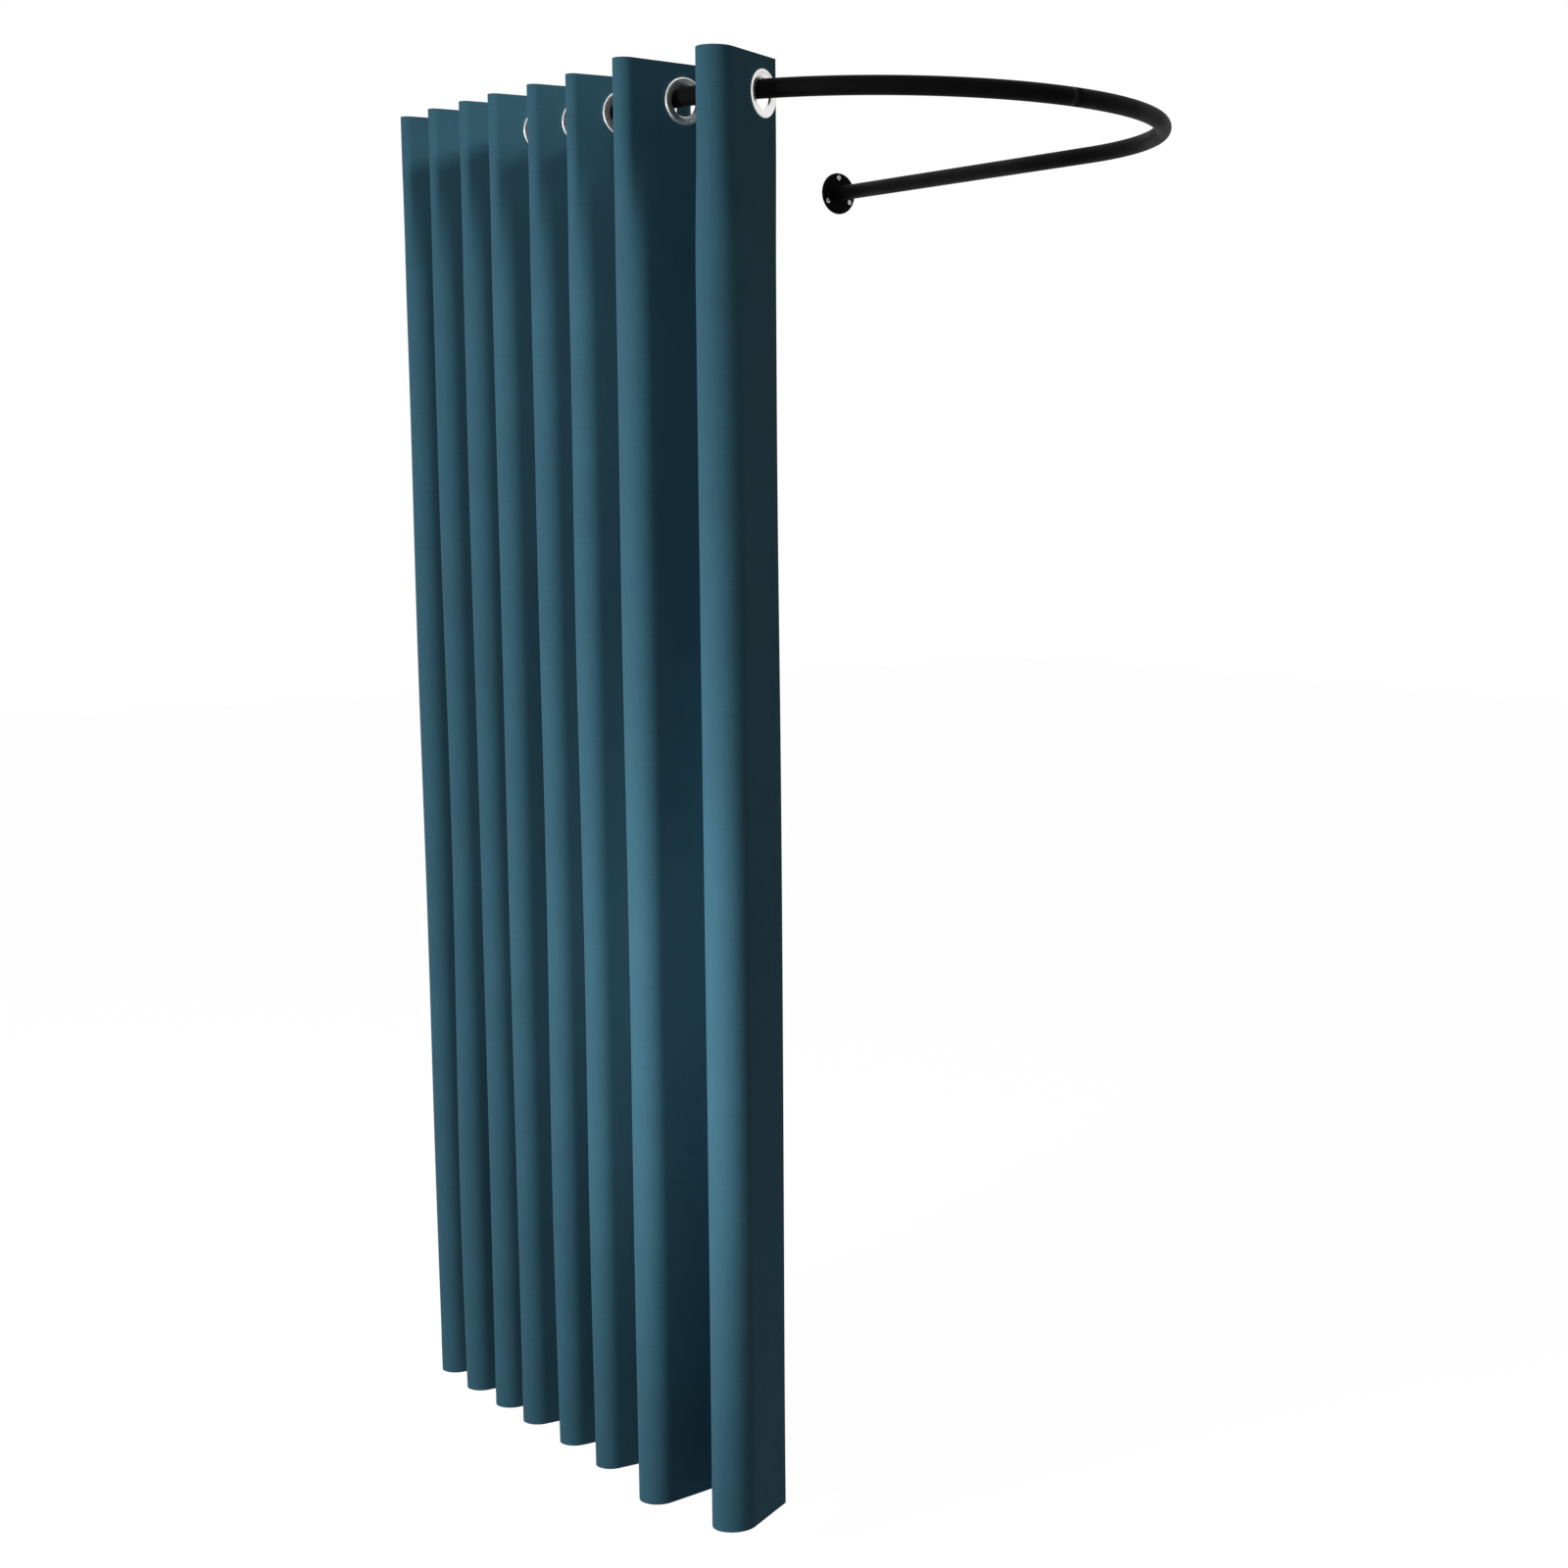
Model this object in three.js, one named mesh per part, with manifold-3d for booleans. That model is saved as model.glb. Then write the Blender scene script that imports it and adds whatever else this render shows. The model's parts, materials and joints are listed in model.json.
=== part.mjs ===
// A wall-hung fitting room for a shop: a U-shaped tube rail on two wall flanges,
// and one eyelet curtain gathered along the rail's left arm.
// Lengths are in millimetres. +X runs along the wall, -Y runs out into the room, +Z is up.
// The origin is the centre of the left flange's back face, on the rail's axis.

import * as THREE from "three";
import { mergeVertices } from "three/addons/utils/BufferGeometryUtils.js";
import Module from "manifold-3d";

const wasm = await Module();
wasm.setup();

// Rail: two bent tubes that meet in the middle of the bend on an inner sleeve.
const railWidth = 800;
const armLength = 650;
const tubeDiameter = 25;
const tubeWall = 1.5;
const jointGap = 0.4;
const sleeveLength = 140;
const sleeveWall = 1.5;
const sleeveClearance = 0.6;

// Wall flange: a round plate with a spigot inside the tube's end.
const flangeDiameter = 70;
const flangeThickness = 4;
const flangeChamfer = 1;
const spigotLength = 32;
const spigotClearance = 0.3;
const spigotChamfer = 1.2;
const tubeEndGap = 0.3;

// Wall screws: raised countersunk heads with a cross recess, three to a flange.
const screwCircleDiameter = 54;
const screwHeadDiameter = 8.4;
const screwShankDiameter = 4.4;
const screwHeadRise = 0.8;
const screwTipInset = 0.3;
const screwFitGap = 0.3;
const recessLength = 4.4;
const recessWidth = 0.9;
const recessDepth = 1.2;
const screwCrownShare = 0.55;

// Curtain: one sheet, hung in eight folds with an eyelet on each flank.
const curtainHeight = 2000;
const clothThickness = 1.2;
const headingAboveAxis = 42;
const edgeBeyondEyelet = 2.5;
const panelGap = 0.6;
const firstFoldPlace = 62.5;
const foldPitch = 95;
const foldPlaceShares = [0, 1.01, 1.985, 2.9, 4.03, 5.18, 6.65, 7.99];
const eyeletHalfGap = 23.5;
const eyeletGapShares = [1, 1, 1, 1, 1, 1, 1.07, 1.11];
const crestDepth = 71.5;
const crestDepthShares = [1, 1.055, 1.03, 1.035, 1, 1.035, 1.3, 1.35];
const troughDepth = 72;
const flankLeans = [11, 11, 11, 11, 11, 11, 10.2, 4.6].map(THREE.MathUtils.degToRad);

// Eyelet: a front ring with a barrel through the cloth, and a back ring round the barrel.
const eyeletDiameter = 62;
const eyeletHole = 38;
const barrelWall = 1.5;
const barrelFitGap = 0.3;
const clothHoleGap = 1;
const clothFaceGap = 0.3;
const rimThickness = 2.9;
const rimEdgeThickness = 1.1;
const rimEdgeInset = 1.6;
const rimCrownShare = 0.42;
const hangGap = 0.5;

// Faceting of the round shapes.
const tubeSides = 16;
const bendSteps = 22;
const flangeSides = 32;
const screwSides = 16;
const eyeletSides = 16;
const arcSteps = 6;

// One overrun serves all cuts.
const cutOverrun = 5;

// Sizes that follow from the driving ones.
const bendRadius = railWidth / 2;
const quarterTurn = Math.PI / 2;
const tubeRadius = tubeDiameter / 2;
const boreRadius = tubeRadius - tubeWall;
const spigotRadius = boreRadius - spigotClearance;
const plateFace = -flangeThickness;
const spigotEnd = plateFace - spigotLength;
const railMiddle = armLength + bendRadius * quarterTurn;
const eyeletHoleRadius = eyeletHole / 2;
const eyeletRadius = eyeletDiameter / 2;
const edgeReach = eyeletRadius + edgeBeyondEyelet;
const barrelRadius = eyeletHoleRadius + barrelWall;
const clothHoleRadius = barrelRadius + clothHoleGap;
const rimInnerFace = clothThickness / 2 + clothFaceGap;
const rimOuterFace = rimInnerFace + rimThickness;
const rimCrownRadius = barrelRadius + (eyeletRadius - barrelRadius) * rimCrownShare;
const barrelEnd = rimInnerFace + rimEdgeThickness;
const eyeletDrop = eyeletHoleRadius - tubeRadius - hangGap;
const foldCount = foldPlaceShares.length;
const eyeletCount = foldCount * 2;

const finishes = {
  cloth: new THREE.MeshStandardMaterial({ color: 0x2f5a6b, roughness: 0.85, metalness: 0 }),
  nickel: new THREE.MeshStandardMaterial({ color: 0xd2d4d6, roughness: 0.22, metalness: 1 }),
  blackCoat: new THREE.MeshStandardMaterial({ color: 0x111112, roughness: 0.45, metalness: 0.3 }),
  zinc: new THREE.MeshStandardMaterial({ color: 0x9b9c9e, roughness: 0.4, metalness: 1 }),
};

// A closed three.js geometry as a solid for a boolean, and back.
function toSolid(geometry) {
  const bare = geometry.index ? geometry.toNonIndexed() : geometry.clone();
  bare.deleteAttribute("normal");
  bare.deleteAttribute("uv");
  const merged = mergeVertices(bare);
  const corners = merged.index.array;
  const triangles = [];
  for (let i = 0; i < corners.length; i += 3) {
    const [a, b, c] = corners.subarray(i, i + 3);
    if (a !== b && b !== c && c !== a) triangles.push(a, b, c);
  }
  const mesh = new wasm.Mesh({
    numProp: 3,
    vertProperties: new Float32Array(merged.attributes.position.array),
    triVerts: new Uint32Array(triangles),
  });
  return new wasm.Manifold(mesh);
}

function toGeometry(solid) {
  const mesh = solid.getMesh();
  const geometry = new THREE.BufferGeometry();
  geometry.setAttribute("position", new THREE.BufferAttribute(mesh.vertProperties, mesh.numProp));
  geometry.setIndex(new THREE.BufferAttribute(mesh.triVerts, 1));
  geometry.computeVertexNormals();
  return geometry;
}

function cut(geometry, cutters) {
  const left = cutters.map(toSolid).reduce((rest, cutter) => rest.subtract(cutter), toSolid(geometry));
  return toGeometry(left);
}

function namedMesh(name, geometry, finish) {
  const mesh = new THREE.Mesh(geometry, finish);
  mesh.name = name;
  return mesh;
}

function numbered(name, index) {
  return `${name}_${String(index + 1).padStart(2, "0")}`;
}

// A turned shape. Its axis is Y, and its outline climbs along Y on the outside.
function turned(outline, sides) {
  const points = outline.map(([radius, along]) => new THREE.Vector2(radius, along));
  return new THREE.LatheGeometry(points, sides);
}

// The rail's axis seen from above, by the distance travelled from the left wall.
function railPlace(distance) {
  const angle = Math.max(0, distance - armLength) / bendRadius;
  const straight = Math.min(distance, armLength);
  return {
    point: new THREE.Vector2(
      bendRadius * (1 - Math.cos(angle)),
      -straight - bendRadius * Math.sin(angle),
    ),
    tangent: new THREE.Vector2(Math.sin(angle), -Math.cos(angle)),
    outward: new THREE.Vector2(-Math.cos(angle), -Math.sin(angle)),
  };
}

// A stretch of the rail's axis that steps through chosen distances from the wall.
class RailPath extends THREE.Curve {
  constructor(stations, mirrored) {
    super();
    this.stations = stations;
    this.mirrored = mirrored;
  }

  placeAt(t) {
    const step = t * (this.stations.length - 1);
    const before = Math.min(Math.floor(step), this.stations.length - 2);
    const [from, to] = this.stations.slice(before, before + 2);
    return railPlace(THREE.MathUtils.lerp(from, to, step - before));
  }

  getPoint(t) {
    const { point } = this.placeAt(t);
    return new THREE.Vector3(this.mirrored ? railWidth - point.x : point.x, point.y, 0);
  }

  getTangent(t) {
    const { tangent } = this.placeAt(t);
    return new THREE.Vector3(this.mirrored ? -tangent.x : tangent.x, tangent.y, 0);
  }

  // The steps follow the stations, not equal lengths.
  getUtoTmapping(u) {
    return u;
  }
}

function evenStations(from, to, steps) {
  return Array.from({ length: steps + 1 }, (_, i) => THREE.MathUtils.lerp(from, to, i / steps));
}

// A circle with a corner at its top, where what hangs on the tube rests.
function circle(radius, sides) {
  return Array.from({ length: sides }, (_, i) => {
    const corner = new THREE.Vector2(radius, 0);
    return corner.rotateAround(new THREE.Vector2(), (2 * Math.PI * i) / sides);
  });
}

function tubeAlong(path, outerRadius, wall) {
  const section = new THREE.Shape(circle(outerRadius, tubeSides));
  section.holes.push(new THREE.Path(circle(outerRadius - wall, tubeSides)));
  return new THREE.ExtrudeGeometry(section, {
    steps: path.stations.length - 1,
    extrudePath: path,
    bevelEnabled: false,
  });
}

function railHalf(name, mirrored) {
  const start = flangeThickness + tubeEndGap;
  const bend = evenStations(armLength, railMiddle - jointGap / 2, bendSteps);
  const path = new RailPath([start, ...bend], mirrored);
  return namedMesh(name, tubeAlong(path, tubeRadius, tubeWall), finishes.blackCoat);
}

// The sleeve follows the middle of the bend, from one half into the other.
function jointSleeve() {
  const steps = Math.ceil((bendSteps * sleeveLength) / (railMiddle - armLength));
  const stations = evenStations(railMiddle - sleeveLength / 2, railMiddle + sleeveLength / 2, steps);
  const geometry = tubeAlong(new RailPath(stations, false), boreRadius - sleeveClearance, sleeveWall);
  return namedMesh("rail_joint_sleeve", geometry, finishes.zinc);
}

// The flange's screws sit on a circle, one at the top and two below.
function screwPlaces() {
  return [0, 1, 2].map((i) => {
    const angle = quarterTurn + (2 * Math.PI * i) / 3;
    const place = new THREE.Vector3(Math.cos(angle), 0, Math.sin(angle));
    return place.multiplyScalar(screwCircleDiameter / 2);
  });
}

// A countersunk screw and its hole have the same outline, the hole wider by a gap.
function countersink(gap) {
  const headRadius = screwHeadDiameter / 2 + gap;
  const shankRadius = screwShankDiameter / 2 + gap;
  return { headRadius, shankRadius, coneEnd: plateFace + headRadius - shankRadius };
}

function wallFlange(name, flangeX) {
  const body = turned(
    [
      [0, spigotEnd],
      [spigotRadius - spigotChamfer, spigotEnd],
      [spigotRadius, spigotEnd + spigotChamfer],
      [spigotRadius, plateFace],
      [flangeDiameter / 2 - flangeChamfer, plateFace],
      [flangeDiameter / 2, plateFace + flangeChamfer],
      [flangeDiameter / 2, 0],
      [0, 0],
    ],
    flangeSides,
  );
  const { headRadius, shankRadius, coneEnd } = countersink(screwFitGap);
  const hole = turned(
    [
      [0, plateFace - cutOverrun],
      [headRadius, plateFace - cutOverrun],
      [headRadius, plateFace],
      [shankRadius, coneEnd],
      [shankRadius, cutOverrun],
      [0, cutOverrun],
    ],
    screwSides,
  );
  const holes = screwPlaces().map((place) => hole.clone().translate(place.x, place.y, place.z));
  const mesh = namedMesh(name, cut(body, holes), finishes.blackCoat);
  mesh.position.x = flangeX;
  return mesh;
}

function wallScrew(name, flangeX, place) {
  const { headRadius, shankRadius, coneEnd } = countersink(0);
  const crown = plateFace - screwHeadRise;
  const body = turned(
    [
      [0, crown],
      [headRadius * screwCrownShare, crown],
      [headRadius, plateFace],
      [shankRadius, coneEnd],
      [shankRadius, -screwTipInset],
      [0, -screwTipInset],
    ],
    screwSides,
  );
  const slot = new THREE.BoxGeometry(recessLength, recessDepth * 2, recessWidth);
  const crossSlot = slot.clone().rotateY(quarterTurn);
  const recess = [slot, crossSlot].map((box) => box.translate(0, crown, 0));
  const mesh = namedMesh(name, cut(body, recess), finishes.zinc);
  mesh.position.copy(place);
  mesh.position.x += flangeX;
  return mesh;
}

// Each fold has a trailing eyelet on the wall's side of its crest, and a leading one past it.
function foldOf(eyelet) {
  const fold = Math.floor(eyelet / 2);
  const leading = eyelet % 2 === 1;
  const crest = firstFoldPlace + foldPitch * foldPlaceShares[fold];
  const halfGap = eyeletHalfGap * eyeletGapShares[fold];
  return { fold, leading, crest, place: crest + (leading ? halfGap : -halfGap) };
}

// A flank stands on its eyelet's centre and leans towards the crest that it rises to.
function flankOf(eyelet) {
  const { fold, leading, place } = foldOf(eyelet);
  const { point, tangent, outward } = railPlace(place);
  const lean = flankLeans[fold] * (leading ? -1 : 1);
  const rise = outward.clone().multiplyScalar(Math.cos(lean));
  rise.addScaledVector(tangent, Math.sin(lean));
  return { point, rise };
}

// The round turn from a flank's flat stretch to the apex of a crest or a trough.
// It leaves the flat and meets the apex without a corner, and stops half a panel gap short.
function turnTo(apexDistance, depth, flank) {
  const { point, tangent, outward } = railPlace(apexDistance);
  const nearSide = Math.sign(tangent.dot(flank.point.clone().sub(point)));
  const apex = point.clone().addScaledVector(outward, depth);
  apex.addScaledVector(tangent, (nearSide * panelGap) / 2);
  const facing = outward.clone().multiplyScalar(Math.sign(depth));
  const offset = apex.clone().sub(flank.point);
  const across = new THREE.Vector2(-flank.rise.y, flank.rise.x);
  across.multiplyScalar(Math.sign(across.dot(offset)));
  const radius = offset.dot(across) / (1 + facing.dot(across));
  const centre = apex.clone().addScaledVector(facing, -radius);
  const start = across.clone().negate();
  const sweep = Math.atan2(start.cross(facing), start.dot(facing));
  return evenStations(0, sweep, arcSteps).map((turn) => {
    const spoke = start.clone().rotateAround(new THREE.Vector2(), turn);
    return { at: spoke.multiplyScalar(radius).add(centre), turn };
  });
}

// A panel's centre line seen from above, from its inner end to its crest.
// turn is how far the line has turned there from the flank's direction.
function panelLine(eyelet, flank) {
  const { fold, leading, crest, place } = foldOf(eyelet);
  const outer = turnTo(crest, crestDepth * crestDepthShares[fold], flank);
  if (eyelet === 0 || eyelet === eyeletCount - 1) {
    const edge = flank.point.clone().addScaledVector(flank.rise, -edgeReach);
    return [{ at: edge, turn: 0 }, ...outer];
  }
  const next = foldOf(leading ? eyelet + 1 : eyelet - 1).place;
  const inner = turnTo((place + next) / 2, -troughDepth, flank);
  return [...inner.reverse(), ...outer];
}

// One panel of the curtain, in a frame that has its eyelet's centre line along Y.
function curtainPanel(eyelet, flank) {
  const left = new THREE.Vector2(-flank.rise.y, flank.rise.x);
  const line = panelLine(eyelet, flank);
  const sideOf = (sign) =>
    line.map(({ at, turn }) => {
      const normal = left.clone().rotateAround(new THREE.Vector2(), turn);
      const corner = at.clone().addScaledVector(normal, (sign * clothThickness) / 2);
      return corner.sub(flank.point).rotateAround(new THREE.Vector2(), -flank.rise.angle());
    });
  const section = new THREE.Shape([...sideOf(-1), ...sideOf(1).reverse()]);
  const sheet = new THREE.ExtrudeGeometry(section, { depth: curtainHeight, bevelEnabled: false });
  sheet.translate(0, 0, headingAboveAxis - curtainHeight);
  const holeLength = clothThickness + cutOverrun * 2;
  const hole = new THREE.CylinderGeometry(clothHoleRadius, clothHoleRadius, holeLength, eyeletSides);
  hole.translate(0, 0, -eyeletDrop);
  return namedMesh(numbered("curtain_panel", eyelet), cut(sheet, [hole]), finishes.cloth);
}

// The front ring's outline: its barrel passes through the cloth, its rim lies on the face.
function eyeletFront(eyelet) {
  const geometry = turned(
    [
      [eyeletHoleRadius, -barrelEnd],
      [barrelRadius, -barrelEnd],
      [barrelRadius, rimInnerFace],
      [eyeletRadius, rimInnerFace],
      [eyeletRadius - rimEdgeInset, rimInnerFace + rimEdgeThickness],
      [rimCrownRadius, rimOuterFace],
      [eyeletHoleRadius, rimInnerFace + rimEdgeThickness],
      [eyeletHoleRadius, -barrelEnd],
    ],
    eyeletSides,
  );
  return namedMesh(numbered("eyelet_front", eyelet), geometry, finishes.nickel);
}

function eyeletBack(eyelet) {
  const boreOfRing = barrelRadius + barrelFitGap;
  const geometry = turned(
    [
      [boreOfRing, -rimInnerFace - rimEdgeThickness],
      [rimCrownRadius, -rimOuterFace],
      [eyeletRadius - rimEdgeInset, -rimInnerFace - rimEdgeThickness],
      [eyeletRadius, -rimInnerFace],
      [boreOfRing, -rimInnerFace],
      [boreOfRing, -rimInnerFace - rimEdgeThickness],
    ],
    eyeletSides,
  );
  return namedMesh(numbered("eyelet_back", eyelet), geometry, finishes.nickel);
}

// A hanger is a panel with its eyelet, in the frame of the panel's flank.
// The front ring is on the curtain's outer face, which a trailing flank has on its other side.
function hanger(eyelet) {
  const flank = flankOf(eyelet);
  const rings = new THREE.Group();
  rings.add(eyeletFront(eyelet), eyeletBack(eyelet));
  rings.position.z = -eyeletDrop;
  rings.rotation.x = foldOf(eyelet).leading ? 0 : Math.PI;
  const group = new THREE.Group();
  group.add(curtainPanel(eyelet, flank), rings);
  group.position.set(flank.point.x, flank.point.y, 0);
  group.rotation.z = flank.rise.angle();
  return group;
}

function fittingRoom() {
  const room = new THREE.Group();
  room.add(railHalf("rail_left_half", false), railHalf("rail_right_half", true), jointSleeve());
  const flangePlaces = [["left", 0], ["right", railWidth]];
  flangePlaces.forEach(([side, flangeX]) => {
    room.add(wallFlange(`wall_flange_${side}`, flangeX));
    screwPlaces().forEach((place, i) => {
      room.add(wallScrew(`wall_screw_${side}_${i + 1}`, flangeX, place));
    });
  });
  for (let eyelet = 0; eyelet < eyeletCount; eyelet += 1) room.add(hanger(eyelet));
  return room;
}

export default fittingRoom();
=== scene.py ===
# %% [markdown]
# # A wall-hung fitting room
#
# A shop makes a fitting room out of two things: a U-shaped rail that stands out from the wall, and an eyelet
# curtain that slides round it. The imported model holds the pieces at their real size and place. This lesson
# dresses them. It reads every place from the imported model, so that the looks always fit the construction.

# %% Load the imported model
import json
import math

import bpy
import numpy as np
from mathutils import Matrix, Vector

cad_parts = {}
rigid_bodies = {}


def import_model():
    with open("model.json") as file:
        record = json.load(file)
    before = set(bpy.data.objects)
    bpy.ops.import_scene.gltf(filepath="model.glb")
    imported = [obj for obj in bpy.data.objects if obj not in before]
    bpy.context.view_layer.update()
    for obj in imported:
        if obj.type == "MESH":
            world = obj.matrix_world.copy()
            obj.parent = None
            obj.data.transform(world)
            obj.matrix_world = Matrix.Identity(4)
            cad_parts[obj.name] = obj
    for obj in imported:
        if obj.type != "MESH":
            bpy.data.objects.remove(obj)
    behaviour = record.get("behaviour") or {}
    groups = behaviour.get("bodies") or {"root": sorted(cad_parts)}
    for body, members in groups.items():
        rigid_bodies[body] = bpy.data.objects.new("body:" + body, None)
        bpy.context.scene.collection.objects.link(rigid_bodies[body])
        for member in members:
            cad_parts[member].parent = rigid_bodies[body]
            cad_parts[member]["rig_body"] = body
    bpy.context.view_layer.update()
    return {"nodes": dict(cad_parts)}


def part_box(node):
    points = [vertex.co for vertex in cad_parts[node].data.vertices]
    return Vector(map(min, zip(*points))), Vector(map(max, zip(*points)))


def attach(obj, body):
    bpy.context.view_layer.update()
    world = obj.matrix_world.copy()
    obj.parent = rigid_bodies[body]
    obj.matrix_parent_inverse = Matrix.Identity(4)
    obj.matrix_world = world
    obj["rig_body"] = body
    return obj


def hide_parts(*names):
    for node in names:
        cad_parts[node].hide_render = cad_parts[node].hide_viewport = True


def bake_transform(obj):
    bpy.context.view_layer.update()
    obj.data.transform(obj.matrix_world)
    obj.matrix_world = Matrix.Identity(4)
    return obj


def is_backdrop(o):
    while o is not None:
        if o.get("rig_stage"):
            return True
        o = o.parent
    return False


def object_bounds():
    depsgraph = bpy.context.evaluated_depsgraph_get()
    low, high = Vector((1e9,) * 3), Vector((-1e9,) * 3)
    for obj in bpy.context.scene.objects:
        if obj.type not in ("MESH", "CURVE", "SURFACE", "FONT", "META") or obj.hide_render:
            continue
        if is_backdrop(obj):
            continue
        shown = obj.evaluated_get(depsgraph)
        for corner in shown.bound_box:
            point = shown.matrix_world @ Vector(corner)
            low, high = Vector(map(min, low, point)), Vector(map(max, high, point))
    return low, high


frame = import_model()

# %% [markdown]
# ## The camera
#
# A photograph can be matched by eye or by solving for the camera. Here the camera was solved from the rail's
# two arms, its bend and the folds' upper and lower edges. It stands in the room to the left of the rail,
# turned 39 degrees to the right, and looks down slightly. The photograph is cut from a wider one, so the lens
# points at a place right of its middle and below it, and the camera's shift says how far.

# %% Place the camera
PHOTO_PIXELS = 1600
FOCAL_PIXELS = 2394.7
LENS_CENTRE_PIXELS = (943.9, 892.4)
SENSOR_MM = 36.0
CAMERA_PLACE = Vector((-1.77986, -3.43476, -0.50164))
# In radians: to the right of straight at the wall, below the horizon, and round the line of sight.
CAMERA_TURN, CAMERA_DIP, CAMERA_ROLL = 0.6808, 0.1659, 0.0021

camera_data = bpy.data.cameras.new("camera")
camera_data.sensor_width = SENSOR_MM
camera_data.lens = FOCAL_PIXELS * SENSOR_MM / PHOTO_PIXELS
camera_data.shift_x = 0.5 - LENS_CENTRE_PIXELS[0] / PHOTO_PIXELS
camera_data.shift_y = LENS_CENTRE_PIXELS[1] / PHOTO_PIXELS - 0.5
camera = bpy.data.objects.new("camera", camera_data)
bpy.context.scene.collection.objects.link(camera)
bpy.context.scene.camera = camera

ahead = Vector((
    math.sin(CAMERA_TURN) * math.cos(CAMERA_DIP),
    math.cos(CAMERA_TURN) * math.cos(CAMERA_DIP),
    -math.sin(CAMERA_DIP),
))
level_right = Vector((math.cos(CAMERA_TURN), -math.sin(CAMERA_TURN), 0))
level_up = level_right.cross(ahead)
right = math.cos(CAMERA_ROLL) * level_right + math.sin(CAMERA_ROLL) * level_up
up = right.cross(ahead)
camera.matrix_world = Matrix.Translation(CAMERA_PLACE) @ Matrix((right, up, -ahead)).transposed().to_4x4()
print("camera:", tuple(round(x, 3) for x in camera.location), "lens", round(camera_data.lens, 1), "mm")

# %% [markdown]
# ## Node trees, the short way
#
# Materials and Geometry Nodes are both graphs: a box, its settings, and wires between boxes. Building them in
# code takes the same few lines each time, so one helper adds a node and fills its inputs. An input is either
# another node's output, which gets a wire, or a plain value. Three more helpers start a material, read a
# colour, and stretch a noise to the range that a finish needs.

# %% Helpers for node trees
def put(tree, kind, inputs=(), **settings):
    """Adds a node to a tree. Inputs gives an output or a value for each input's name or number."""
    node = tree.nodes.new(kind)
    for setting, value in settings.items():
        setattr(node, setting, value)
    for name, value in dict(inputs).items():
        if isinstance(value, bpy.types.NodeSocket):
            tree.links.new(value, node.inputs[name])
        else:
            node.inputs[name].default_value = value
    return node


def new_material(name, base, inputs):
    """A material whose surface shader has a base colour and these inputs. Each finish adds its own detail."""
    material = bpy.data.materials.new(name)
    material.use_nodes = True
    shader = material.node_tree.nodes["Principled BSDF"]
    for label, value in {"Base Color": (*base, 1), **inputs}.items():
        shader.inputs[label].default_value = value
    return material, material.node_tree, shader


def from_hex(code):
    """A colour as it is read off a screen, turned by the sRGB formula into the shader's linear light."""
    shares = [int(code[i:i + 2], 16) / 255 for i in (0, 2, 4)]
    return tuple(c / 12.92 if c <= 0.04045 else ((c + 0.055) / 1.055) ** 2.4 for c in shares)


def stretched(tree, value, old, new):
    """Takes a value from its old (low, high) range to a new one."""
    return put(tree, "ShaderNodeMapRange", {
        "Value": value, "From Min": old[0], "From Max": old[1], "To Min": new[0], "To Max": new[1],
    }).outputs[0]


print("helpers: put, new_material, from_hex, stretched")

# %% [markdown]
# ## The black coat
#
# The rail and its flanges are steel tube and plate under a baked black powder. Powder coat is neither mirror
# nor chalk: it has a satin sheen with a fine orange-peel ripple. A plain black would look cut out of paper,
# so a fine noise ripples the surface, and a broad one makes it a touch more or less glossy from place to
# place.

# %% Black powder coat
MM = 0.001
PEEL_PER_METRE, PEEL_DEPTH = 900.0, 0.1 * MM
HANDLING_PER_METRE = 14.0
COAT_ROUGHNESS = (0.48, 0.62)

black_coat, tree, shader = new_material("black powder coat", from_hex("161617"), {"IOR": 1.1})
place = put(tree, "ShaderNodeTexCoord").outputs["Object"]
peel = put(tree, "ShaderNodeTexNoise", {"Vector": place, "Scale": PEEL_PER_METRE, "Detail": 2.0})
ripple = put(tree, "ShaderNodeBump", {"Height": peel.outputs[0], "Strength": 0.25, "Distance": PEEL_DEPTH})
tree.links.new(ripple.outputs[0], shader.inputs["Normal"])
handled = put(tree, "ShaderNodeTexNoise", {"Vector": place, "Scale": HANDLING_PER_METRE, "Detail": 4.0})
roughness = stretched(tree, handled.outputs[0], old=(0.3, 0.7), new=COAT_ROUGHNESS)
tree.links.new(roughness, shader.inputs["Roughness"])
print("material:", black_coat.name)

# %% [markdown]
# ## Bright zinc on the screws and the sleeve
#
# Wall screws and the sleeve inside the rail's joint are plated with zinc. The plating is bright but soft, so
# the reflection is blurred, and a stretched noise leaves the faint marks of the machine that made the piece.

# %% Zinc plating
MARKS_PER_METRE = (1500.0, 300.0, 1500.0)
ZINC_ROUGHNESS = (0.26, 0.44)

zinc, tree, shader = new_material("bright zinc", from_hex("b9bbbe"), {"Metallic": 1.0})
place = put(tree, "ShaderNodeTexCoord").outputs["Object"]
drawn = put(tree, "ShaderNodeMapping", {"Vector": place, "Scale": MARKS_PER_METRE})
marks = put(tree, "ShaderNodeTexNoise", {"Vector": drawn.outputs[0], "Scale": 1.0, "Detail": 3.0})
roughness = stretched(tree, marks.outputs[0], old=(0.0, 1.0), new=ZINC_ROUGHNESS)
tree.links.new(roughness, shader.inputs["Roughness"])
print("material:", zinc.name)

# %% [markdown]
# ## Polished nickel on the eyelets
#
# The eyelets are pressed from thin brass sheet and nickel plated. They mirror what is round them: the white
# room on their rims, the dark cloth and the rail inside. So the colour is nearly white, and the roughness is
# low and uneven, from the fine scratches that the rail leaves as the curtain is drawn.

# %% Polished nickel
WEAR_PER_METRE = 180.0
NICKEL_ROUGHNESS = (0.26, 0.34)

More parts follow.
